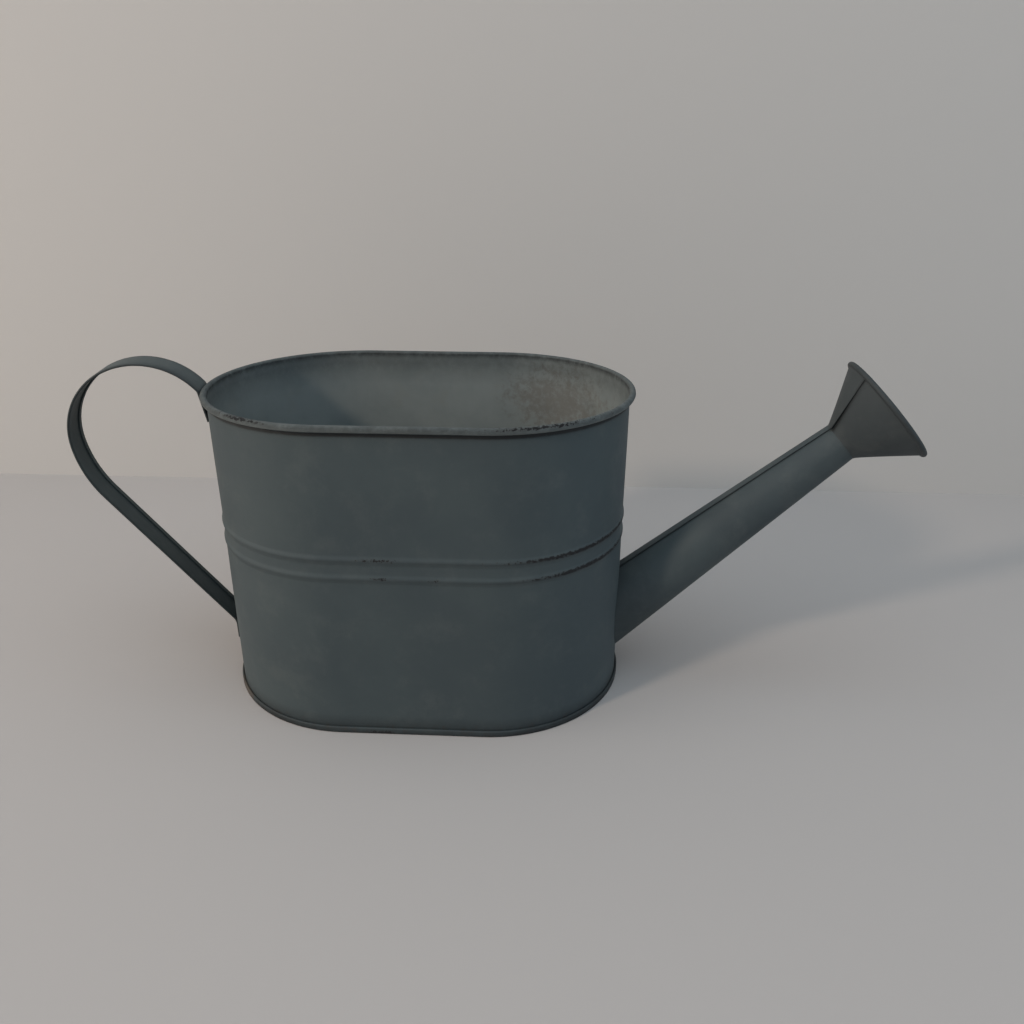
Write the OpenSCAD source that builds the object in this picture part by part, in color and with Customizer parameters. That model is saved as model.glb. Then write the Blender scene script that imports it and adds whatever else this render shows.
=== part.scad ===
// Oval sheet-metal watering can with a strap handle, a long spout and a sprinkler rose.
// Units are millimetres. The origin is the middle of the underside, +Z is up,
// the spout points along +X and the handle is at the -X end.

/* [Sheet] */
// Thickness of the sheet that every piece is made from
sheet = 0.5; // [0.4:0.1:0.7]

/* [Body] */
// Length over the curled rim
body_length = 250; // [230:5:280]
// Width over the curled rim
body_width = 167; // [150:1:180]
// Height from the floor to the top of the rim
body_height = 188; // [175:1:210]
// Diameter of the curl that finishes the rim
curl_d = 3.8; // [3.4:0.1:4.4]
// Height of the middle between the two swaged ribs
rib_level = 106.5; // [95:0.5:115]
// Distance between the two ribs
rib_pitch = 11; // [9:0.5:14]
// Width of one rib
rib_w = 5.5; // [4:0.5:7]
// How far a rib stands out of the wall
rib_h = 0.7; // [0.5:0.1:1.2]
// Height of the seam that joins the wall to the base
base_seam_h = 4; // [3:0.5:6]

/* [Spout] */
// Angle of the spout and rose above level
spout_rise = 41.5; // [36:0.5:46]
// Height at which the spout's axis leaves the wall
spout_level = 47.1; // [45:0.5:52]
// Diameter of the spout where its axis leaves the wall
spout_root_d = 41; // [36:0.5:44]
// Diameter of the spout at the rose
spout_neck_d = 23.6; // [20:0.2:26]
// Length of the spout's axis from the wall to the rose
spout_length = 165.5; // [140:0.5:180]

/* [Rose] */
// Diameter over the rose's crimped edge
rose_d = 68.5; // [60:0.5:76]
// Length of the rose from its neck to its face
rose_length = 32.5; // [28:0.5:38]
// Diameter of one spray hole
spray_hole_d = 2; // [1.6:0.1:2.4]
// Number of rings of spray holes round the middle one
spray_rings = 4; // [2:1:4]

/* [Handle] */
// Width of the strap
strap_w = 20; // [16:0.5:24]
// Thickness of the strap over its turned-in edges
strap_depth = 1.3; // [1.2:0.1:2.0]
// Width of each turned-in edge
strap_hem = 3.5; // [2.5:0.5:6]
// How far the handle was fixed round from the middle of the end, in degrees
handle_swing = 8; // [0:1:10]
// Radius of the arch of the handle
arch_r = 42; // [38:0.5:44]
// Turn of the arch
arch_turn = 147; // [145:1:149]
// Radius of the easy bend below the arch
lower_r = 66; // [60:1:72]
// Turn of the easy bend below the arch
lower_turn = 30; // [28:1:32]

/* [Hidden] */
$fn = 96;
paint = [0.29, 0.34, 0.34];
paint_dark = [0.25, 0.29, 0.30];
far = 400;                                   // longer than any piece, for cutting
eps = 0.01;

// Plan of the body: two half circles joined by straight sides.
curl_r = curl_d / 2;
rim_r = body_width / 2;                      // radius over the curl at each end
half_straight = body_length / 2 - rim_r;     // half the length of the straight sides
wall_r = rim_r - curl_d + sheet;             // outside of the wall
wall_end = half_straight + wall_r;           // outside of the wall, along X
curl_z = body_height - curl_r;               // level of the middle of the curl
curl_gap = [195, 240];                       // the curl is open between these angles

// Swaged rib: an arc of the sheet pushed outwards.
rib_r = (pow(rib_w / 2, 2) + pow(rib_h, 2)) / (2 * rib_h);
rib_levels = [rib_level - rib_pitch / 2, rib_level + rib_pitch / 2];

// Base seam: wall hook inside a folded flange of the pan, three sheets in all.
fold_r = sheet * 1.5;                        // outside radius of a fold round one sheet
hook_z = sheet + fold_r;                      // middle of the fold at the wall's lower edge
hook_top = base_seam_h - 2 * sheet;

// Vertical lap of the wall, on the back.
lap_x = -30;                                 // the free edge of the sheet
lap_w = 11;                                  // the lap fades into the wall over this

// Spout and rose share one axis.
spout_slope = (spout_root_d - spout_neck_d) / 2 / spout_length;
tail = 40;                                   // tube made past the wall, then trimmed
tube_proud = 1;                              // the tube stands this far inside the wall
tube_tuck = 1.5;                             // and this far inside the rose
tube_lap_w = 6;                              // width of the lap along the spout
tube_lap_edge = 2.4;                         // its free edge, to the -Y side of the top
tube_lap_skew = 2;                           // the lap wanders off the top by this angle
rose_edge_r = 1.6;                           // radius of the crimped edge
rose_slope = 0.69;                           // growth of the cone's radius along its axis
rose_lap_at = 23;                            // the lap's free edge, round from the top
rose_lap_turn = 16;
spray_pitch = 6.2;
crimp_turn = 200;                            // how far the plate wraps the cone's edge

// Handle: a chain of straight stretches and bends in the X-Z plane.
tab_foot = 169;                              // lower end of the tab under the rim
touch = 0.02;                                // gap left where the strap only touches
rim_bend = [5, 29];                          // radius and turn where the strap leaves the rim
foot_r = 9;                                  // bend above the lower tab
foot_tab = 9;                                // length of the lower tab

// --- Shared shapes -------------------------------------------------------------------

// Carries a profile of radius and height round the plan of the body.
module round_body() {
    for (turn = [0, 180]) rotate([0, 0, turn]) {
        translate([half_straight, 0, 0])
            rotate([0, 0, -90]) rotate_extrude(angle = 180) children();
        translate([-half_straight, 0, 0])
            rotate([90, 0, 90]) linear_extrude(2 * half_straight) children();
    }
}

// Everything inside a given radius of the plan.
module body_core(r) {
    round_body() translate([0, -far / 4]) square([r, far]);
}

module ring(r_out, r_in) {
    difference() {
        circle(r_out);
        circle(r_in);
    }
}

// Pie slice from one angle to another, counted the usual way.
module slice(from, to, r) {
    steps = 12;
    polygon([[0, 0], for (i = [0:steps])
        let (a = from + (to - from) * i / steps) 2 * r * [cos(a), sin(a)]]);
}

// Puts its children on the spout's axis, with Z along it and -X uppermost.
module on_spout(along) {
    translate([wall_end, 0, spout_level])
        rotate([0, 90 - spout_rise, 0]) translate([0, 0, along]) children();
}

function spout_r(along) = spout_root_d / 2 - spout_slope * along;

module spout_cone(extra) {
    on_spout(-tail)
        cylinder(h = tail + spout_length + tube_tuck,
            r1 = spout_r(-tail) + extra, r2 = spout_r(spout_length + tube_tuck) + extra);
}

// The spout's outside, with the lap along its top.
module spout_outside() {
    spout_cone(0);
    intersection() {
        spout_cone(sheet);
        on_spout(-tail) rotate([0, 0, tube_lap_skew])
            translate([-far, -tube_lap_edge, 0]) cube([far, tube_lap_w, far]);
    }
}

// --- Body wall -----------------------------------------------------------------------

module wall_profile() {
    difference() {
        union() {
            translate([wall_r - sheet, hook_z]) square([sheet, curl_z - hook_z]);
            for (z = rib_levels) intersection() {
                translate([wall_r + rib_h - rib_r, z]) circle(rib_r);
                translate([wall_r - sheet, z - rib_w]) square([far, 2 * rib_w]);
            }
        }
        for (z = rib_levels)
            translate([wall_r + rib_h - rib_r, z]) circle(rib_r - sheet);
    }
    translate([wall_r - sheet + curl_r, curl_z]) difference() {
        ring(curl_r, curl_r - sheet);
        slice(curl_gap[0], curl_gap[1], curl_r);
    }
    hook_profile();
}

// The wall's lower edge is turned out and up inside the base seam.
module hook_profile() {
    translate([wall_r + sheet / 2, hook_z]) intersection() {
        ring(fold_r, fold_r - sheet);
        translate([-far / 2, -far]) square([far, far]);
    }
    translate([wall_r + sheet, hook_z]) square([sheet, hook_top - hook_z]);
}

// The sheet's outer end laps over the inner one and fades into the wall. The ribs are
// pressed across the lap and flatten it.
module wall_lap() {
    rib_clear = rib_w / 2 + sheet;
    spans = [[base_seam_h, rib_levels[0] - rib_clear],
        [rib_levels[0] + rib_clear, rib_levels[1] - rib_clear],
        [rib_levels[1] + rib_clear, curl_z - curl_r]];
    for (span = spans) translate([lap_x, wall_r - sheet / 2, span[0]])
        linear_extrude(span[1] - span[0])
            polygon([[0, 0], [0, 1.5 * sheet], [-lap_w, sheet / 2], [-lap_w, 0]]);
}

module body_wall() {
    color(paint) difference() {
        union() {
            round_body() wall_profile();
            wall_lap();
        }
        spout_outside();
    }
}

// --- Base ----------------------------------------------------------------------------

module pan_profile() {
    flange_r = wall_r + fold_r;              // middle line of the folded flange
    square([flange_r, sheet]);
    translate([flange_r, fold_r]) intersection() {
        ring(fold_r, fold_r - sheet);
        translate([0, -far]) square([far, far]);
    }
    translate([flange_r, base_seam_h - fold_r]) intersection() {
        ring(fold_r, fold_r - sheet);
        translate([-far / 2, 0]) square([far, far]);
    }
    translate([flange_r + fold_r - sheet, fold_r])
        square([sheet, base_seam_h - 2 * fold_r]);
    translate([wall_r, hook_z + sheet / 2])
        square([sheet, base_seam_h - fold_r - hook_z - sheet / 2]);
}

module base_pan() {
    color(paint) round_body() pan_profile();
}

// --- Handle --------------------------------------------------------------------------

// A place on the strap's middle line is [x, z, heading]; headings count from +X to +Z.
function go(p, d) = [p[0] + d * cos(p[2]), p[1] + d * sin(p[2]), p[2]];
function bend(p, r, turn) = [
    p[0] + r * (sin(p[2] + turn) - sin(p[2])),
    p[1] - r * (cos(p[2] + turn) - cos(p[2])),
    p[2] + turn];
function beside(p, d) = [p[0] - d * sin(p[2]), p[1] + d * cos(p[2]), p[2]];

// The places along a bend, after its start; a bend to the right has a negative radius.
function bend_places(p, r, turn, steps) = [for (i = [1:steps]) bend(p, r, turn * i / steps)];

// The tab rises from the wall and just clears the curl of the rim.
tab_start = [-wall_end - touch, tab_foot];
to_curl = [-half_straight - wall_r + sheet - curl_r, curl_z] - tab_start;
tab_heading = atan2(to_curl[1], to_curl[0]) + asin((curl_r + touch) / norm(to_curl));
tab_length = sqrt(pow(norm(to_curl), 2) - pow(curl_r + touch, 2));

p0 = beside([tab_start[0], tab_start[1], tab_heading], strap_depth / 2);
p1 = go(p0, tab_length);
p2 = bend(p1, rim_bend[0], rim_bend[1]);
p3 = bend(p2, arch_r, arch_turn);
p4 = bend(p3, lower_r, lower_turn);
foot_turn = 270 - p4[2];
hem_y = strap_w / 2 - strap_hem;             // the turned-in edges meet the round wall here
foot_x = -half_straight - sqrt(wall_r * wall_r - hem_y * hem_y) - touch - strap_depth / 2;
run = (foot_x - p4[0] - foot_r * (1 + sin(p4[2]))) / cos(p4[2]);
p5 = go(p4, run);
p6 = bend(p5, -foot_r, foot_turn);
strap_places = concat([p0, p1],
    bend_places(p1, rim_bend[0], rim_bend[1], 3),
    bend_places(p2, arch_r, arch_turn, 22),
    bend_places(p3, lower_r, lower_turn, 4), [p5],
    bend_places(p5, -foot_r, foot_turn, 4), [go(p6, foot_tab)]);

// A band of the strap between two distances from its middle line; the loop's inside is positive.
module band(from, to, width) {
    outer = [for (p = strap_places) beside(p, from)];
    inner = [for (p = strap_places) beside(p, to)];
    rotate([90, 0, 0]) linear_extrude(width, center = true) polygon(concat(
        [for (p = outer) [p[0], p[1]]],
        [for (i = [len(inner) - 1:-1:0]) [inner[i][0], inner[i][1]]]));
}

// The edges are turned over and lie along the inside, with a narrow space under them.
module handle_strap() {
    half_depth = strap_depth / 2;
    color(paint_dark) translate([-half_straight, 0, 0]) rotate([0, 0, handle_swing])
        translate([half_straight, 0, 0]) difference() {
            band(-half_depth, half_depth, strap_w);
            band(sheet - half_depth, half_depth - sheet, strap_w - 2 * sheet);
            band(0, strap_depth, 2 * hem_y);
        }
}

// --- Spout ---------------------------------------------------------------------------

module spout_tube() {
    color(paint) difference() {
        spout_outside();
        on_spout(-tail - eps)
            cylinder(h = tail + spout_length + tube_tuck + 2 * eps,
                r1 = spout_r(-tail) - sheet, r2 = spout_r(spout_length + tube_tuck) - sheet);
        body_core(wall_r - sheet - tube_proud);
    }
}

// --- Rose ----------------------------------------------------------------------------

rose_neck_r = spout_neck_d / 2 + sheet / 2;
cone_length = rose_length - rose_edge_r;
cone_end_r = rose_neck_r + rose_slope * cone_length;
cone_skin = sheet * norm([1, rose_slope]);   // the sheet measured square to the axis

module rose_outside(extra) {
    cylinder(h = cone_length, r1 = rose_neck_r + extra, r2 = cone_end_r + extra);
}

module rose_cone() {
    lap_edge_r = far / 4;
    color(paint) difference() {
        on_spout(spout_length) difference() {
            union() {
                rose_outside(0);
                intersection() {
                    rose_outside(sheet);
                    rotate([0, 0, 180 + rose_lap_at - rose_lap_turn])
                        rotate_extrude(angle = rose_lap_turn)
                            square([lap_edge_r, cone_length - 2 * rose_edge_r]);
                }
            }
            translate([0, 0, -eps]) cylinder(h = cone_length + 2 * eps,
                r1 = rose_neck_r - cone_skin - eps * rose_slope,
                r2 = cone_end_r - cone_skin + eps * rose_slope);
        }
        spout_outside();
    }
}

module plate_profile() {
    edge_x = rose_d / 2 - rose_edge_r;
    translate([0, rose_length - sheet]) square([edge_x, sheet]);
    translate([edge_x, cone_length]) difference() {
        ring(rose_edge_r, rose_edge_r - sheet);
        slice(90, 450 - crimp_turn, rose_edge_r);
    }
}

module rose_plate() {
    color(paint_dark) on_spout(spout_length) difference() {
        rotate_extrude() plate_profile();
        rose_outside(0);
        translate([0, 0, rose_length - far / 4]) cylinder(h = far / 2, d = spray_hole_d);
        for (k = [1:spray_rings]) for (i = [0:6 * k - 1])
            rotate([0, 0, 60 * i / k]) translate([k * spray_pitch, 0, rose_length - 2 * sheet])
                cylinder(h = 3 * sheet, d = spray_hole_d);
    }
}

body_wall();
base_pan();
handle_strap();
spout_tube();
rose_cone();
rose_plate();
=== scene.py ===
# %% [markdown]
# # A worn oval watering can
# The can is folded, rolled and soldered from half-millimetre steel sheet and painted slate green.
# Six pieces make it: the body wall, the base pan, the strap handle, the spout, the rose's cone and
# the rose's perforated face. Each one is modelled here the way a tinsmith makes it: a line is
# drawn where the sheet runs, the line is carried round or along the piece, and the surface is
# then given the sheet's thickness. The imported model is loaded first, because it fixes every size.

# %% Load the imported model
import math

import bpy
from mathutils import Euler, Matrix, Vector, noise


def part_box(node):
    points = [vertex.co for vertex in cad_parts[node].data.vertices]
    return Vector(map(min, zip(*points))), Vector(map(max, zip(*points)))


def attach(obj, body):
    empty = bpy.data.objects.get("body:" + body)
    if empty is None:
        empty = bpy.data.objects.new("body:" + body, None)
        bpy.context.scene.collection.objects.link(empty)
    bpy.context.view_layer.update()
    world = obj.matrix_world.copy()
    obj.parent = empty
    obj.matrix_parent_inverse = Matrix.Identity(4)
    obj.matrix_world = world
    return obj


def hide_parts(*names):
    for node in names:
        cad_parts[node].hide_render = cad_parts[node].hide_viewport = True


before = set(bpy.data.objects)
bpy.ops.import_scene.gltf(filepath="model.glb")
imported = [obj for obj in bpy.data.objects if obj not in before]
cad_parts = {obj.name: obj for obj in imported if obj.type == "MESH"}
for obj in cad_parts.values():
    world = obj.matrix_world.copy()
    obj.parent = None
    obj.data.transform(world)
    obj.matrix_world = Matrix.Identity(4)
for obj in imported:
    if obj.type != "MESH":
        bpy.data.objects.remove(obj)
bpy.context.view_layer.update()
print("packed pieces:", sorted(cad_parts))

# %% [markdown]
# ## Sizes
# Blender works in metres, but sheet-metal sizes are easier to read in millimetres, so every length
# below is in millimetres and is multiplied by `MM` only where it meets Blender. The body's sizes
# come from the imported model's boxes, and the thin folds come from the thickness of the sheet.

# %% Driving sizes
MM = 0.001
UP = Vector((0, 0, 1))
sheet = 0.5
body_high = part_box("body_wall")[1]
body_length = 2 * body_high.x / MM
body_width = 2 * body_high.y / MM
body_height = body_high.z / MM
curl_r = 1.9
rim_r = body_width / 2
half_straight = body_length / 2 - rim_r
wall_r = rim_r - 2 * curl_r + sheet
wall_end = half_straight + wall_r
curl_z = body_height - curl_r
seam_height = 4.0
rib_levels = (101.0, 112.0)
rib_half_width, rib_height = 3.1, 0.75
print(f"body {body_length:.1f} x {body_width:.1f} x {body_height:.1f} mm, wall radius {wall_r:.2f} mm")

# %% [markdown]
# ## Drawing and carrying a line
# A sheet piece starts as one vertex. Extruding the vertex again and again draws the line of the
# sheet. The whole line is then extruded to make a straight stretch, or spun to make a bend.
# Both operators leave the new end of the sheet selected, so stretches and bends follow each other
# as they do on a folding machine. Without a window a spin turns clockwise, so its axis is reversed.

# %% Helpers for lines, stretches and bends
def deselect_all():
    if bpy.context.object and bpy.context.object.mode != "OBJECT":
        bpy.ops.object.mode_set(mode="OBJECT")
    bpy.ops.object.select_all(action="DESELECT")


def pick(piece):
    deselect_all()
    piece.select_set(True)
    bpy.context.view_layer.objects.active = piece


def draw_line(name, points):
    deselect_all()
    bpy.ops.mesh.primitive_plane_add(size=MM)
    piece = bpy.context.object
    piece.name = piece.data.name = name
    bpy.ops.object.mode_set(mode="EDIT")
    bpy.ops.mesh.merge(type="CENTER")
    bpy.ops.transform.translate(value=points[0] * MM)
    for before, after in zip(points, points[1:]):
        stretch(after - before)
    bpy.ops.mesh.select_all(action="SELECT")
    return piece


def stretch(step, steps=1):
    for _ in range(steps):
        bpy.ops.mesh.extrude_region_move(
            TRANSFORM_OT_translate={"value": Vector(step) * MM / steps})


def turn(centre, axis, degrees, steps):
    bpy.ops.mesh.spin(
        steps=steps, angle=math.radians(degrees), center=Vector(centre) * MM, axis=-Vector(axis))


def arc(centre, radius, start, end, steps):
    angles = [math.radians(start + (end - start) * i / steps) for i in range(steps + 1)]
    return [(centre[0] + radius * math.cos(a), centre[1] + radius * math.sin(a)) for a in angles]


# %% [markdown]
# ## From a line's surface to sheet metal
# Spun and extruded ends meet in doubled vertices, so they are merged first. The faces are then
# turned to point away from the inside of the piece. Only after that does Solidify give the surface
# its thickness, half to each side, and a second material goes on the inner side.

# %% Helpers that finish a piece
def join_ends(piece, inside_at):
    bpy.ops.mesh.select_all(action="SELECT")
    bpy.ops.mesh.remove_doubles(threshold=0.02 * MM)
    bpy.ops.mesh.normals_make_consistent(inside=False)
    bpy.ops.object.mode_set(mode="OBJECT")
    facing = sum(face.area * face.normal.dot(face.center - inside_at(face.center))
                 for face in piece.data.polygons)
    if facing < 0:
        bpy.ops.object.mode_set(mode="EDIT")
        bpy.ops.mesh.flip_normals()
        bpy.ops.object.mode_set(mode="OBJECT")


def apply_modifier(piece, kind, **settings):
    pick(piece)
    modifier = piece.modifiers.new(kind.title(), kind)
    for setting, value in settings.items():
        setattr(modifier, setting, value)
    bpy.ops.object.modifier_apply(modifier=modifier.name)


def thicken(piece, finishes):
    for finish in finishes:
        piece.data.materials.append(finish)
    apply_modifier(piece, "SOLIDIFY", thickness=sheet * MM, offset=0,
                   material_offset=len(finishes) - 1)


def cut_away(piece, cutter):
    apply_modifier(piece, "BOOLEAN", operation="DIFFERENCE", solver="EXACT", object=cutter)
    bpy.data.objects.remove(cutter)


def place(piece, location=(0, 0, 0), rotation=(0, 0, 0)):
    pick(piece)
    piece.location = Vector(location) * MM
    piece.rotation_euler = rotation
    bpy.ops.object.transform_apply(location=True, rotation=True, scale=True)


def finish_piece(piece, node, angle=40):
    pick(piece)
    bpy.ops.object.shade_smooth_by_angle(angle=math.radians(angle))
    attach(piece, "root")
    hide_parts(node)
    print(f"{piece.name}: {len(piece.data.polygons)} faces")


# %% [markdown]
# ## Marks of use
# Wear follows the shape: paint chips off the bead, the ribs and the folds. Some grime settles too,
# but much of the darkening is painted shade: under the curl, on the bead's top, along the lap edges,
# at the spout's root, at the foot, on the strap's edges and inside the can. Three numbers are stored
# on every vertex of a finished piece: `wear` says how readily the paint has chipped there, `rust`
# how far rust has spread and the third mark how much the colour is darkened, partly for grime and
# partly as painted shade. The paint reads them by name and breaks them up with noise, so that no
# mark shows the edges of the mesh. `patch` is a soft bump round a place, which most of the marks
# are made of.

# %% Helper that stores the marks
def mark(piece, wear, rust, dirt_and_shade):
    for name, rule in (("wear", wear), ("rust", rust), ("dirt_and_shade", dirt_and_shade)):
        values = piece.data.attributes.new(name, "FLOAT", "POINT")
        for vertex, value in zip(piece.data.vertices, values.data):
            value.value = rule(vertex.co / MM)


def patch(value, centre, reach):
    return math.exp(-((value - centre) / reach) ** 2)


def limited(value):
    return min(1.0, max(0.0, value))


# %% [markdown]
# ## Paint
# The paint is a flat, slightly chalky slate green over steel. One recipe makes every finish:
# cloudy colour, faint runs down the wall, dust and fine specks, then rust, a near-black that
# stands for grime and for painted shade, and chips on top. A chip shows dark steel with a faint
# brown edge and sits a little lower than the paint, and a fine tooth breaks up the sheen.

# %% Node helpers
def feed(tree, socket, value):
    if isinstance(value, bpy.types.NodeSocket):
        tree.links.new(value, socket)
    else:
        socket.default_value = value


def add_node(tree, kind, settings=None, **inputs):
    made = tree.nodes.new(kind)
    for name, value in (settings or {}).items():
        setattr(made, name, value)
    for name, value in inputs.items():
        feed(tree, made.inputs[name.replace("_", " ")], value)
    return made


def noise_of(tree, where, scale, detail=2.0, roughness=0.5):
    made = add_node(tree, "ShaderNodeTexNoise", Vector=where, Scale=scale, Detail=detail,
                    Roughness=roughness)
    return made.outputs["Fac"]


def ranged(tree, value, low, high, to_low=0.0, to_high=1.0):
    made = add_node(tree, "ShaderNodeMapRange", {"interpolation_type": "SMOOTHSTEP"},
                    Value=value, From_Min=low, From_Max=high, To_Min=to_low, To_Max=to_high)
    return made.outputs["Result"]


def maths(tree, operation, first, second, clamp=False):
    made = tree.nodes.new("ShaderNodeMath")
    made.operation = operation
    made.use_clamp = clamp
    feed(tree, made.inputs[0], first)
    feed(tree, made.inputs[1], second)
    return made.outputs[0]


def blend_colours(tree, amount, first, second):
    made = tree.nodes.new("ShaderNodeMix")
    made.data_type = "RGBA"
    feed(tree, made.inputs[0], amount)
    feed(tree, made.inputs[6], first)
    feed(tree, made.inputs[7], second)
    return made.outputs[2]


def linear(level):
    share = level / 255
    return share / 12.92 if share <= 0.04045 else ((share + 0.055) / 1.055) ** 2.4


def srgb(red, green, blue):
    return (linear(red), linear(green), linear(blue), 1.0)


# %% The paint recipe
STEEL = srgb(26, 26, 27)
RUST = srgb(84, 70, 58)
DUST = srgb(120, 122, 116)
# Near-black used both for grime and for painted shade.
GRIME_AND_SHADE = srgb(20, 23, 24)


def paint(name, light, dark, dust=0.10, rust_cover=0.7, roughness=0.62):
    made = bpy.data.materials.new(name)
    made.use_nodes = True
    tree = made.node_tree
    shader = tree.nodes["Principled BSDF"]
    where = add_node(tree, "ShaderNodeTexCoord").outputs["Object"]
    wear = add_node(tree, "ShaderNodeAttribute", {"attribute_name": "wear"}).outputs["Fac"]
    rust = add_node(tree, "ShaderNodeAttribute", {"attribute_name": "rust"}).outputs["Fac"]
    dirt_and_shade = add_node(tree, "ShaderNodeAttribute", {"attribute_name": "dirt_and_shade"}).outputs["Fac"]

    clouds = noise_of(tree, where, 16, 5, 0.6)
    colour = blend_colours(tree, ranged(tree, clouds, 0.35, 0.65), light, dark)
    runs = add_node(tree, "ShaderNodeMapping", Vector=where, Scale=(1.0, 1.0, 0.12)).outputs[0]
    streaks = ranged(tree, noise_of(tree, runs, 120, 4, 0.6), 0.5, 0.75, 0.0, 0.25)
    colour = blend_colours(tree, streaks, colour, dark)
    dusty = ranged(tree, noise_of(tree, where, 45, 8, 0.7), 0.48, 0.72, 0.0, dust)
    colour = blend_colours(tree, dusty, colour, DUST)
    specks = ranged(tree, noise_of(tree, where, 1400, 3, 0.7), 0.62, 0.72, 0.0, 0.35)
    colour = blend_colours(tree, specks, colour, dark)

    mottle = noise_of(tree, where, 210, 8, 0.75)
    spread = maths(tree, "ADD", maths(tree, "MULTIPLY", rust, 0.62), mottle)
    rusty = ranged(tree, spread, 0.72, 0.98, 0.0, rust_cover)
    colour = blend_colours(tree, rusty, colour, RUST)

    # The third mark darkens the colour towards near-black: grime in some places, painted shade in
    # others.
    smears_and_shade = maths(tree, "MULTIPLY", dirt_and_shade, ranged(tree, mottle, 0.25, 0.6, 0.65, 1.0), clamp=True)
    colour = blend_colours(tree, smears_and_shade, colour, GRIME_AND_SHADE)

    crumbs = noise_of(tree, where, 650, 5, 0.7)
    flaking = maths(tree, "ADD", maths(tree, "MULTIPLY", wear, 0.42), crumbs)
    brown_edge = ranged(tree, flaking, 0.72, 0.81, 0.0, 0.18)
    colour = blend_colours(tree, brown_edge, colour, RUST)
    chips = ranged(tree, flaking, 0.79, 0.82)
    colour = blend_colours(tree, chips, colour, STEEL)
    tree.links.new(colour, shader.inputs["Base Color"])

    sheen = maths(tree, "ADD", maths(tree, "MULTIPLY", chips, 0.2), roughness)
    sheen = maths(tree, "ADD", sheen, maths(tree, "MULTIPLY", mottle, 0.12))
    tree.links.new(sheen, shader.inputs["Roughness"])
    tooth = noise_of(tree, where, 700, 4, 0.6)
    height = maths(tree, "SUBTRACT", maths(tree, "MULTIPLY", tooth, 0.25), chips)
    bump = add_node(tree, "ShaderNodeBump", Strength=0.5, Distance=0.12 * MM, Height=height)
    tree.links.new(bump.outputs["Normal"], shader.inputs["Normal"])
    shader.inputs["Metallic"].default_value = 0.0
    shader.inputs["Specular IOR Level"].default_value = 0.45
    return made


outside_paint = paint("slate_paint", srgb(65, 75, 77), srgb(60, 70, 73))
inside_paint = paint("dusty_inside_paint", srgb(124, 131, 130), srgb(110, 118, 118),
                     dust=0.30, rust_cover=0.42, roughness=0.75)
strap_paint = paint("strap_paint", srgb(71, 79, 79), srgb(60, 68, 69))
spout_paint = paint("spout_paint", srgb(68, 77, 79), srgb(59, 68, 71))
# The rose's paint is a darker copy of the slate paint, standing in for the shade the rose sits in.
rose_paint = paint("rose_paint", srgb(59, 65, 67), srgb(52, 58, 60))
finishes = (outside_paint, inside_paint, strap_paint, spout_paint, rose_paint)
print("finishes:", [finish.name for finish in finishes])

# %% [markdown]
# ## Camera, light and floor
# The camera stands in front of the can, above its rim, and looks down on it. Lamps are placed in
# metres and aimed at a spot on or near the can.
# A small warm lamp to the front left throws the clear shadow. Three softer lamps fill in: a wide
# one low on the left, a bluish one low on the right and a very wide one overhead.
# A plain floor meets a plain wall behind the can. The wall is see-through from behind, so that
# the can may be looked at from there too.

# %% Camera
camera_data = bpy.data.cameras.new("camera")
camera_data.sensor_width = 36
camera_data.lens = 30.219
camera = bpy.data.objects.new("camera", camera_data)
bpy.context.scene.collection.objects.link(camera)
camera.matrix_world = (
    Matrix.Translation(Vector((77.30, -485.34, 319.85)) * MM)
    @ Matrix.Rotation(math.radians(2.766), 4, "Z")
    @ Matrix.Rotation(math.radians(66.401), 4, "X")
    @ Matrix.Rotation(math.radians(0.190), 4, "Z"))
bpy.context.scene.camera = camera
print("camera lens", camera_data.lens)


# %% Lamps and world
def soft_lamp(name, location, target, size, power, colour):
    data = bpy.data.lights.new(name, "AREA")
    data.shape = "DISK"
    data.size = size
    data.energy = power
    data.color = colour
    lamp = bpy.data.objects.new(name, data)
    lamp.location = location
    lamp.rotation_euler = (Vector(target) - Vector(location)).to_track_quat("-Z", "Y").to_euler()
    bpy.context.scene.collection.objects.link(lamp)


soft_lamp("window", location=(-1.50, -1.31, 1.23), target=(0.0, 0.0, 0.08),
          size=0.25, power=18.0, colour=(1.0, 0.83, 0.68))
soft_lamp("bright_side", location=(-2.2, -0.50, 0.60), target=(0.0, 0.0, 0.10),
          size=1.4, power=15.0, colour=(1.0, 0.92, 0.83))
soft_lamp("blue_side", location=(2.2, -0.50, 0.15), target=(0.1, 0.0, 0.10),
          size=0.5, power=4.0, colour=(0.62, 0.82, 1.0))
soft_lamp("ceiling", location=(0.6, 0.0, 1.6), target=(0.5, 0.0, 0.0),
          size=3.0, power=22.0, colour=(0.82, 0.92, 1.0))
world = bpy.data.worlds.new("room")
world.use_nodes = True
background = world.node_tree.nodes["Background"]
background.inputs["Color"].default_value = (0.74, 0.88, 1.0, 1.0)
background.inputs["Strength"].default_value = 0.40
bpy.context.scene.world = world
bpy.context.scene.view_settings.view_transform = "Standard"


# %% Floor and wall
def plain_finish(name, colour, one_sided=False):
    made = bpy.data.materials.new(name)
    made.use_nodes = True
    tree = made.node_tree
    shader = tree.nodes["Principled BSDF"]
    shader.inputs["Base Color"].default_value = colour
    shader.inputs["Roughness"].default_value = 0.95
    shader.inputs["Specular IOR Level"].default_value = 0.1
    if one_sided:
        back = add_node(tree, "ShaderNodeNewGeometry").outputs["Backfacing"]
        clear = add_node(tree, "ShaderNodeBsdfTransparent").outputs[0]
        mixed = add_node(tree, "ShaderNodeMixShader", Fac=back)
        tree.links.new(shader.outputs[0], mixed.inputs[1])
        tree.links.new(clear, mixed.inputs[2])
        tree.links.new(mixed.outputs[0], tree.nodes["Material Output"].inputs["Surface"])
    return made


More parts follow.
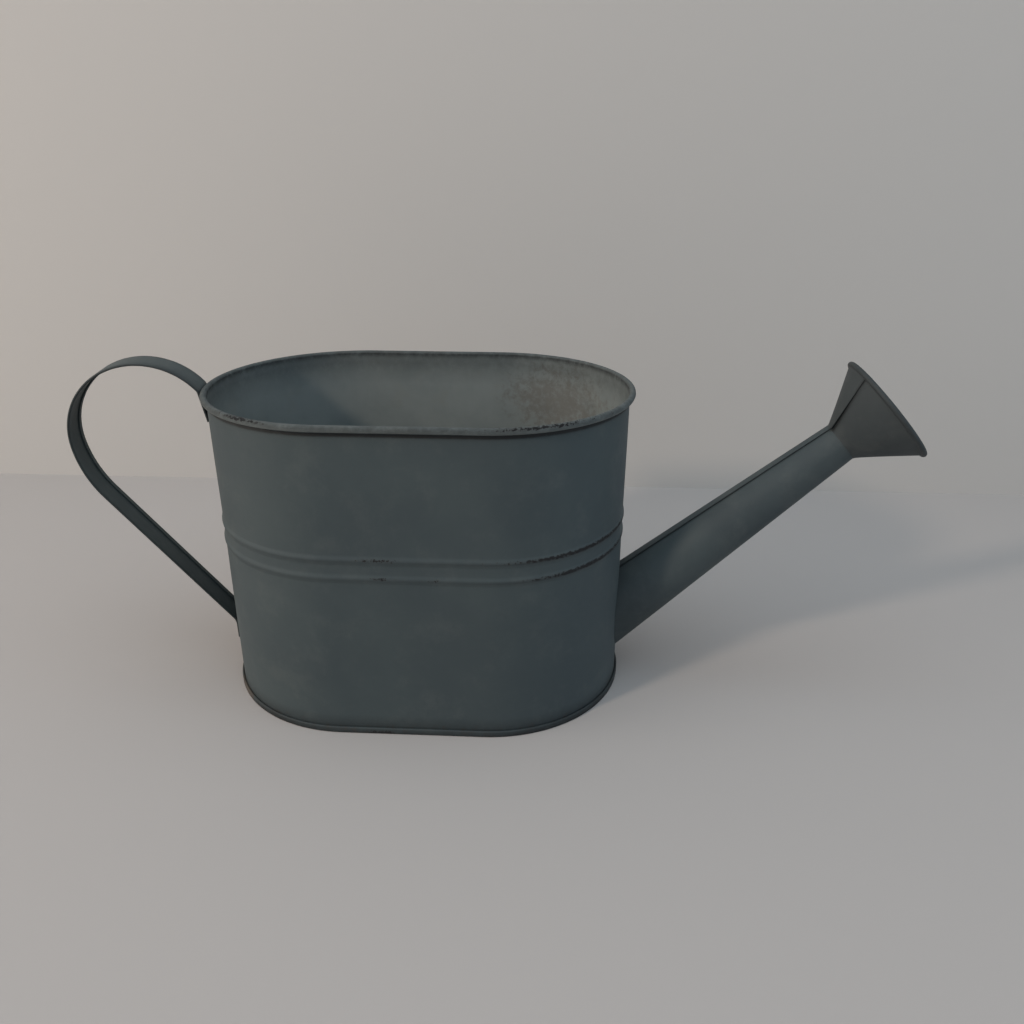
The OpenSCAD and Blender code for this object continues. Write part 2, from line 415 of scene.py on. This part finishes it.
wall_y = 0.315
sheet_width, sheet_depth = 6, 3
deselect_all()
bpy.ops.mesh.primitive_plane_add(size=1, location=(0, wall_y - sheet_depth / 2, 0))
floor = bpy.context.object
floor.name = "floor"
floor.scale = (sheet_width, sheet_depth, 1)
bpy.ops.object.transform_apply(location=True, rotation=True, scale=True)
floor.data.materials.append(plain_finish("pale_floor", srgb(181, 176, 173)))
deselect_all()
bpy.ops.mesh.primitive_plane_add(
    size=1, location=(0, wall_y, sheet_depth / 2), rotation=(math.radians(90), 0, 0))
wall = bpy.context.object
wall.name = "wall"
wall.scale = (sheet_width, sheet_depth, 1)
bpy.ops.object.transform_apply(location=True, rotation=True, scale=True)
wall.data.materials.append(plain_finish("pale_wall", srgb(195, 191, 187), one_sided=True))
print("floor and wall made")

# %% [markdown]
# ## The oval plan
# The body's plan is two half circles joined by straight sides. A profile standing at the front
# end of one half circle is turned round it, stretched along the back, turned round the other end
# and stretched back along the front. For the wall, the back gets two closely spaced columns where
# the sheet's ends overlap, so that a sharp step can be raised between them later.

# %% Helpers for the oval
end_steps, side_steps = 64, 14
lap_x, lap_reach, lap_gap = -30.0, 11.0, 0.1


def on_plan(profile):
    return [Vector((half_straight, -radius, z)) for radius, z in profile]


def middle_of_plan(spot):
    s = half_straight * MM
    return Vector((max(-s, min(s, spot.x)), 0, spot.z))


def from_middle(spot):
    off = spot - middle_of_plan(spot * MM) / MM
    return Vector((off.x, off.y)).length


def carry_along_back(steps, lap):
    if not lap:
        stretch((-2 * half_straight, 0, 0), steps)
        return
    stretch((lap_x - half_straight, 0, 0), steps - 3)
    stretch((-lap_gap, 0, 0))
    stretch((-lap_reach, 0, 0), 2)
    stretch((lap_gap + lap_reach - half_straight - lap_x, 0, 0))


def carry_round_plan(steps=side_steps, lap=False):
    turn((half_straight, 0, 0), UP, 180, end_steps)
    carry_along_back(steps, lap)
    turn((-half_straight, 0, 0), UP, 180, end_steps)
    stretch((2 * half_straight, 0, 0), steps)


# %% [markdown]
# ## Body wall
# The sheet runs up from a hook in the base seam, over two pressed ribs, and ends in a curl that
# stiffens the rim. The line below follows the middle of the sheet. Real sheet is never quite
# true, so the wall is let out and in by a fraction of a millimetre between the rim and the seam.

# %% Wall profile
def rib_bulge(z):
    near = min(abs(z - level) for level in rib_levels)
    if near > rib_half_width:
        return 0.0
    return rib_height * 0.5 * (1 + math.cos(math.pi * near / rib_half_width))


def wall_heights():
    wide_step, rib_step = 8, 0.75
    below_ribs = [seam_height + wide_step * i for i in range(12)]
    over_ribs = [97.5 + rib_step * i for i in range(25)]
    above_ribs = [118 + wide_step * i for i in range(8)]
    under_curl = [curl_z - gap for gap in (6, 5, 4, 3, 2.2)]
    return below_ribs + over_ribs + above_ribs + under_curl


def wall_line():
    middle_r = wall_r - sheet / 2
    hook_z, hook_top, fold = 2.5 * sheet, seam_height - 2 * sheet, sheet
    line = [(middle_r + 2 * fold, hook_top)]
    line += arc((middle_r + fold, hook_z), fold, 0, -180, 6)
    line += [(middle_r + rib_bulge(z), z) for z in wall_heights()]
    line += arc((wall_r - sheet + curl_r, curl_z), curl_r - sheet / 2, 180, -120, 20)
    return line


# %% Build the body wall
def untrue(spot):
    reach, noise_scale = 0.7, 14
    height = limited(spot.z / MM / body_height)
    return reach * MM * math.sin(math.pi * height) * noise.noise(spot * noise_scale)


body = draw_line("can_body", on_plan(wall_line()))
carry_round_plan(lap=True)
join_ends(body, middle_of_plan)
for vertex in body.data.vertices:
    outwards = vertex.co - middle_of_plan(vertex.co)
    vertex.co += outwards.normalized() * untrue(vertex.co)
thicken(body, (outside_paint, inside_paint))
print("body wall:", len(body.data.vertices), "vertices")

# %% [markdown]
# The ends of the sheet overlap at the back and are soldered flush inside, so only the outside
# shows a step. It is raised after the sheet has its thickness: the outer side is lifted by one
# sheet at the lap's edge and sinks back to the wall behind it. The ribs were pressed through both
# layers and flatten the lap, and the curl and the seam hide its ends.

# %% Raise the lap at the back
def is_inside(spot):
    let_out = untrue(spot * MM) / MM
    return from_middle(spot) - let_out < wall_r - sheet / 2


def lap_height(spot):
    flat_within, fade = 3, 2
    behind = lap_x - spot.x
    if spot.y < 0 or behind < lap_gap / 2 or behind > lap_reach or is_inside(spot):
        return 0.0
    to_seam = max(0.0, spot.z - seam_height - 1)
    to_curl = max(0.0, curl_z - 3 - spot.z)
    nearest = min([abs(spot.z - level) for level in rib_levels] + [to_seam, to_curl])
    free = limited((nearest - flat_within) / fade)
    return sheet * (1 - behind / lap_reach) * free


raised = 0
for vertex in body.data.vertices:
    height = lap_height(vertex.co / MM)
    vertex.co.y += height * MM
    raised += height > 0
print("vertices raised for the lap:", raised)

# %% [markdown]
# ## Spout
# The spout is a sheet cone whose long edges lap along the top. Its cross-section is therefore not
# a closed ring but a line that goes a little more than once round and climbs over itself. Such a
# line is drawn at the body, then extruded along the spout and fitted to the smaller radius at each
# step. The tube is made too long at the body and cut to the curve of the wall.

# %% Helpers for rolled cones
spout_rise = 41.5
spout_level = 47.1
spout_length = 165.5
spout_root_r, spout_neck_r = 20.5, 11.8
spout_lap_width, spout_lap_edge, spout_lap_skew = 6.0, 2.4, 2.0
spout_slope = (spout_root_r - spout_neck_r) / spout_length
spout_tilt = (0, math.radians(90 - spout_rise), 0)


def rolled_line(radius, level, edge_at, lap, lift, steps=80):
    climb, spring, close_by = 24.0, 10.0, 2.5
    whole = 360 + lap
    stops = [whole * i / steps for i in range(steps + 1)]
    stops += [lap, lap + close_by, whole - close_by]
    points = []
    for done in sorted(stops):
        rise = limited((done - 360 + climb) / climb)
        at_edge = limited((done - 360 + spring) / (spring + lap))
        r = radius + 1.1 * sheet * rise * rise * (3 - 2 * rise) + lift * at_edge ** 2
        angle = math.radians(edge_at - lap + done)
        points.append(Vector((-r * math.cos(angle), -r * math.sin(angle), level)))
    return points


def loft(name, rows):
    piece = draw_line(name, rows[0])
    bpy.ops.object.mode_set(mode="OBJECT")
    order = [min(range(len(rows[0])), key=lambda k: (rows[0][k] * MM - v.co).length)
             for v in piece.data.vertices]
    for row in rows[1:]:
        bpy.ops.object.mode_set(mode="EDIT")
        stretch((0, 0, 0))
        bpy.ops.object.mode_set(mode="OBJECT")
        for vertex, k in zip(list(piece.data.vertices)[-len(order):], order):
            vertex.co = row[k] * MM
    bpy.ops.object.mode_set(mode="EDIT")
    return piece


def axis_point(spot):
    return Vector((0, 0, spot.z))


def spout_radius(level):
    return spout_root_r - spout_slope * level


def spout_edge_at(radius):
    return math.degrees(math.asin(spout_lap_edge / radius)) + spout_lap_skew


# %% Build the spout
def spout_row(level):
    radius = spout_radius(level)
    lap = math.degrees(spout_lap_width / radius)
    return rolled_line(radius - sheet / 2, level, spout_edge_at(radius), lap, lift=0.25)


spout_start, spout_step, spout_row_count = -40, 6.9, 31
spout = loft("spout", [spout_row(spout_start + spout_step * i) for i in range(spout_row_count)])
join_ends(spout, axis_point)
thicken(spout, (spout_paint, inside_paint))
place(spout, (wall_end, 0, spout_level), spout_tilt)
print("spout:", len(spout.data.vertices), "vertices")

# %% [markdown]
# The end of the tube is trimmed with an oval block that fills the body, and the wall's opening is
# cut with a plain cone of the tube's own size. Both cutters are thrown away afterwards.

# %% Cut the spout and the wall to fit each other
block_r = wall_r - sheet - 1.0
block = draw_line("block", on_plan([(0, -20), (block_r, -20), (block_r, 220), (0, 220)]))
carry_round_plan(1)
join_ends(block, middle_of_plan)
cut_away(spout, block)

deselect_all()
half_cone = 60
bpy.ops.mesh.primitive_cone_add(
    vertices=128, radius1=spout_radius(-half_cone) * MM, radius2=spout_radius(half_cone) * MM,
    depth=2 * half_cone * MM)
hole_cutter = bpy.context.object
place(hole_cutter, (wall_end, 0, spout_level), spout_tilt)
cut_away(body, hole_cutter)
print("body wall with its opening:", len(body.data.vertices), "vertices")

# %% [markdown]
# ## Base pan
# The base is a flat pan. Its edge stands up outside the wall's hook, folds over it and
# is pressed tight, which leaves a low band of several layers round the foot of the can.

# %% Build the base pan
def pan_line():
    middle_r, fold = wall_r - sheet / 2, sheet
    outer_r = middle_r + 3 * fold
    line = [(0, sheet / 2), (30, sheet / 2), (60, sheet / 2), (outer_r - fold, sheet / 2)]
    line += arc((outer_r - fold, sheet / 2 + fold), fold, -60, 0, 3)
    line += arc((outer_r - fold, seam_height - 1.5 * sheet), fold, 0, 180, 8)
    line += [(middle_r + fold, 3.5 * sheet)]
    return line


base = draw_line("base", on_plan(pan_line()))
carry_round_plan()
join_ends(base, lambda at: middle_of_plan(Vector((at.x, at.y, 3 * MM))))
thicken(base, (outside_paint, inside_paint))
print("base:", len(base.data.vertices), "vertices")

# %% [markdown]
# ## Strap handle
# The handle is a strip with both long edges turned in, so its section is a flat letter C. The
# section is drawn where the strap leaves the wall below the rim, and is then taken along the
# handle: a straight tab, a sharp bend over the rim, the round arch, an easy bend, a long straight
# and a last bend that lays the lower tab against the wall. Headings are in degrees, counted from
# the spout's direction towards up.

# %% Where the strap runs
strap_width, strap_depth, strap_hem = 20.0, 1.3, 3.5
strap_swing = 8.0
tab_foot, foot_bend, foot_tab = 169.0, 9.0, 9.0


def along(heading, distance):
    return Vector((math.cos(math.radians(heading)), 0, math.sin(math.radians(heading)))) * distance


def strap_section(start, heading):
    outwards = along(heading - 90, 1)
    fold = (strap_depth - sheet) / 2
    edge = (strap_width - strap_depth) / 2
    half = [(-fold, strap_width / 2 - strap_hem), (-fold, (strap_width - strap_hem) / 2)]
    half += [(-x, edge + y) for x, y in arc((0, 0), fold, 0, 180, 8)] + [(fold, edge / 2)]
    outline = half + [(fold, 0)] + [(x, -y) for x, y in reversed(half)]
    return [start + outwards * out + Vector((0, across, 0)) for out, across in outline]


def strap_start():
    tab = Vector((-wall_r, 0, tab_foot))
    to_curl = Vector((sheet - wall_r - curl_r, 0, curl_z)) - tab
    heading = math.degrees(math.atan2(to_curl.z, to_curl.x) + math.asin(curl_r / to_curl.length))
    length = math.sqrt(to_curl.length ** 2 - curl_r ** 2)
    return tab + along(heading + 90, strap_depth / 2), heading, length


def bend_strap(spot, heading, radius, degrees, steps):
    to_left = degrees > 0
    side = 90 if to_left else -90
    centre = spot + along(heading + side, radius)
    turn(centre, (0, -1 if to_left else 1, 0), abs(degrees), steps)
    heading += degrees
    return centre - along(heading + side, radius), heading


# %% Build the strap handle
spot, heading, tab_length = strap_start()
strap = draw_line("strap_handle", strap_section(spot, heading))
stretch(along(heading, tab_length), 3)
spot = spot + along(heading, tab_length)
for radius, degrees, steps in ((5, 29, 6), (42, 147, 44), (66, 30, 12)):
    spot, heading = bend_strap(spot, heading, radius, degrees, steps)
hem_y = strap_width / 2 - strap_hem
foot_x = -math.sqrt(wall_r ** 2 - hem_y ** 2) - strap_depth / 2
down = math.radians(heading)
run = (foot_x - spot.x - foot_bend * (1 + math.sin(down))) / math.cos(down)
stretch(along(heading, run), 14)
spot = spot + along(heading, run)
spot, heading = bend_strap(spot, heading, foot_bend, 270 - heading, 8)
stretch(along(heading, foot_tab), 3)
inside_loop = Vector((-118, 0, 140)) * MM
join_ends(strap, lambda at: inside_loop + Vector((0, at.y * 0.5, 0)))
thicken(strap, (strap_paint,))
place(strap, (-half_straight, 0, 0), (0, 0, math.radians(strap_swing)))
print("strap handle:", len(strap.data.vertices), "vertices")

# %% [markdown]
# ## Rose
# The rose is a short flared cone rolled in the same way, with its free edge sprung open a little
# at the neck. A perforated disc closes it, and the disc's rim is crimped over the cone's edge.

# %% Build the rose's cone
rose_radius, rose_length, rose_edge_r = 34.25, 32.5, 1.6
rose_slope = 0.69
rose_cone_length = rose_length - rose_edge_r
rose_neck_r = spout_neck_r + sheet / 2
rose_origin = Vector((wall_end, 0, spout_level)) + along(spout_rise, spout_length)


def rose_edge_at(z):
    return 22.0 + 5.0 * z / rose_cone_length


def rose_row(z):
    done = z / rose_cone_length
    neck_bend = 1.0
    flare = math.sqrt(z * z + neck_bend ** 2) - neck_bend * (1 - 0.03 * done)
    radius = rose_neck_r + rose_slope * flare * (1 + 0.031 * done) - sheet / 2
    lap = 12 + 10 * (1 - done)
    lift = 1.8 * (1 - done) ** 2
    return rolled_line(radius, z, rose_edge_at(z), lap, lift, steps=110)


rose_heights = [0, 0.5, 1.1, 2.0, 3.5] + [3.5 + 3.425 * i for i in range(1, 9)]
rose = loft("rose_cone_sheet", [rose_row(z) for z in rose_heights])
join_ends(rose, axis_point)
thicken(rose, (rose_paint, inside_paint))
place(rose, rose_origin, spout_tilt)
print("rose's cone:", len(rose.data.vertices), "vertices")


# %% Build the rose's face
def face_line():
    flat_r = rose_radius - rose_edge_r
    line = [(r, rose_length - sheet / 2) for r in (0, 10, 20, 28, flat_r)]
    line += arc((flat_r, rose_cone_length), rose_edge_r - sheet / 2, 82, -110, 14)
    return [Vector((r, 0, z)) for r, z in line]


face = draw_line("rose_face", face_line())
turn((0, 0, 0), UP, 360, 96)
join_ends(face, lambda at: Vector((0, 0, 20 * MM)))
thicken(face, (rose_paint, inside_paint))
print("rose's face:", len(face.data.vertices), "vertices")

# %% [markdown]
# The spray holes are punched in rings round a middle one, six more in each ring. One drill is
# made and copied to every place, and the copies are joined and cut from the disc in one go. The
# cut leaves faces with many corners, which are then split into triangles.

# %% Punch the spray holes
hole_pitch, hole_r, hole_rings = 6.2, 1.0, 4
deselect_all()
bpy.ops.mesh.primitive_cylinder_add(vertices=20, radius=hole_r * MM, depth=4 * MM)
drill = bpy.context.object
drill.location.z = rose_length * MM
drills = [drill]
for ring in range(1, hole_rings + 1):
    for i in range(6 * ring):
        angle = math.radians(60 * i / ring)
        copy = drill.copy()
        copy.data = drill.data.copy()
        copy.location.x = hole_pitch * ring * math.cos(angle) * MM
        copy.location.y = hole_pitch * ring * math.sin(angle) * MM
        bpy.context.scene.collection.objects.link(copy)
        drills.append(copy)
pick(drill)
for copy in drills:
    copy.select_set(True)
bpy.ops.object.join()
bpy.ops.object.transform_apply(location=True, rotation=True, scale=True)
cut_away(face, drill)
print("spray holes:", len(drills))
pick(face)
bpy.ops.object.mode_set(mode="EDIT")
bpy.ops.mesh.select_all(action="SELECT")
bpy.ops.mesh.dissolve_degenerate(threshold=0.01 * MM)
bpy.ops.mesh.quads_convert_to_tris(quad_method="BEAUTY", ngon_method="BEAUTY")
bpy.ops.object.mode_set(mode="OBJECT")
place(face, rose_origin, spout_tilt)

# %% [markdown]
# ## Wear on each piece
# The rim bead and the ribs carry the worst chips, most of them towards the spout, where the can
# was knocked and carried. Rust has started in the base seam and inside near the spout.

# %% Mark the pieces
def body_wear(spot):
    x, y, z = spot
    side = 1.0 if y < 0 else 0.5
    crest = patch(z, body_height - 0.7, 1.3)
    rim = crest * (0.30 + 0.55 * patch(x, 74, 30) + 0.62 * patch(x, -82, 15))
    upper = patch(z, rib_levels[1] + 0.5, 1.5)
    upper *= 0.15 + 0.95 * patch(x, 94, 46) + 0.72 * patch(x, -16, 13)
    lower = patch(z, rib_levels[0] + 0.5, 1.5)
    lower *= 0.15 + 0.95 * patch(x, 98, 34) + 0.62 * patch(x, -12, 12) + 0.6 * patch(x, 16, 6)
    return max(rim, upper, lower) * side


def body_rust(spot):
    x, y, z = spot
    rim = patch(z, body_height - 1.5, 3.0) * 0.2
    foot = patch(z, seam_height, 3.0) * 0.4
    stain = 0.0
    if is_inside(spot):
        stain = patch(x, 80, 44) * patch(z, 158, 32) * (0.75 if y > 0 else 0.35)
    return max(rim, stain, foot)


def body_dirt_and_shade(spot):
    x, y, z = spot
    # The bead is darkened, partly for grime and partly as painted shade that holds down the light its
    # top catches from above.
    on_bead = 0.75 * patch(z, body_height - 1, 2.6)
    if is_inside(spot):
        # Inside, painted shade darkens a band just under the rim, and the wall is made darker towards
        # the bottom.
        return on_bead + 0.45 * patch(z, curl_z - 6, 7) + 0.35 * patch(z, 0, 25)
    # Outside, the thin dark line under the curl is painted shadow with some grime in it. Dark lines
    # are also drawn where the wall enters the seam and along each rib, heavier towards the spout.
    under_curl = 1.5 * patch(z, curl_z - 3.5, 1.0)
    on_seam = 0.55 * patch(z, seam_height + 0.2, 0.8)
    line = sum(patch(z, level - 0.2, 0.8) for level in rib_levels)
    line *= 0.25 + 0.5 * patch(x, 95, 45)
    return on_bead + under_curl + on_seam + line


def on_flange(spot):
    return from_middle(spot) > wall_r - 1


def base_wear(spot):
    if not on_flange(spot):
        return 0.1
    edge = patch(spot.z, 0.5, 2.0) if spot.y < 0 else 0.0
    return 0.3 * patch(spot.z, 2, 3) + 0.9 * edge * patch(spot.x, -18, 9)


def base_rust(spot):
    at_handle = patch(spot.x, -109, 5) if spot.y < 0 and on_flange(spot) else 0.0
    return 0.35 + 2.0 * at_handle


def base_dirt_and_shade(spot):
    # The pan is darkened all over, more on its band and at the rounded ends. The extra darkening at
    # its lowest edge is a painted contact shadow, and the darkening is lifted off the rusted patch at
    # the handle end.
    if not on_flange(spot):
        return 0.3
    ends = limited(abs(spot.x) / half_straight - 1)
    rusted = patch(spot.x, -109, 6) if spot.y < 0 else 0.0
    return (0.40 + 0.35 * ends + 0.5 * patch(spot.z, 0, 1)) * (1 - 0.9 * rusted)


def from_lap(spot, origin, edge_at):
    local = Euler(spout_tilt).to_matrix().transposed() @ (spot - origin)
    radius = math.hypot(local.x, local.y)
    angle = math.degrees(math.atan2(-local.y, -local.x))
    return local.z, angle, math.radians(angle - edge_at(local.z)) * radius


def spout_marks(spot):
    origin = Vector((wall_end, 0, spout_level))
    return from_lap(spot, origin, lambda level: spout_edge_at(spout_radius(level)))


def spout_shade(spot):
    # Painted shadow: a dark line along the lap's edge, fading towards the neck, and the body's shadow
    # darkening the root.
    level, _, off_edge = spout_marks(spot)
    lap_shadow = (0.80 - 0.50 * max(0.0, level / spout_length)) * patch(off_edge, 0.2, 0.6)
    return max(lap_shadow, 0.35 * patch(level, 0, 30))


def spout_wear(spot):
    level, angle, _ = spout_marks(spot)
    return max(0.12, 0.7 * patch(angle, 152, 22) * patch(level, 152, 16))


def rose_lap_shade(spot):
    # Painted shadow under the lap's lifted edge, wider towards the neck where the edge stands off
    # most.
    level, _, off_edge = from_lap(spot, rose_origin, rose_edge_at)
    reach = 0.6 + 0.7 * max(0.0, 1 - level / rose_cone_length)
    return (0.95 if off_edge > 0 else 0.4) * patch(off_edge, 0.4, reach)


def strap_edge_shade(spot):
    # Painted shade along both long edges of the strap, where its turned-in edges curve away from the
    # light.
    across = (spot.x + half_straight) * -math.sin(math.radians(strap_swing))
    across += spot.y * math.cos(math.radians(strap_swing))
    return 0.6 * patch(abs(across), strap_width / 2, 0.9)


def even(level):
    return lambda spot: level


mark(body, body_wear, body_rust, body_dirt_and_shade)
mark(base, base_wear, base_rust, base_dirt_and_shade)
mark(strap, even(0.12), even(0.12), strap_edge_shade)
mark(spout, spout_wear, even(0.10), spout_shade)
mark(rose, even(0.12), even(0.10), rose_lap_shade)
mark(face, even(0.3), even(0.2), even(0.35))
print("marks stored on 6 pieces")

# %% Smooth the pieces, attach them to the root and hide the imported parts
finish_piece(body, "body_wall")
finish_piece(base, "base_pan")
finish_piece(strap, "handle_strap")
finish_piece(spout, "spout_tube")
finish_piece(rose, "rose_cone")
finish_piece(face, "rose_plate")
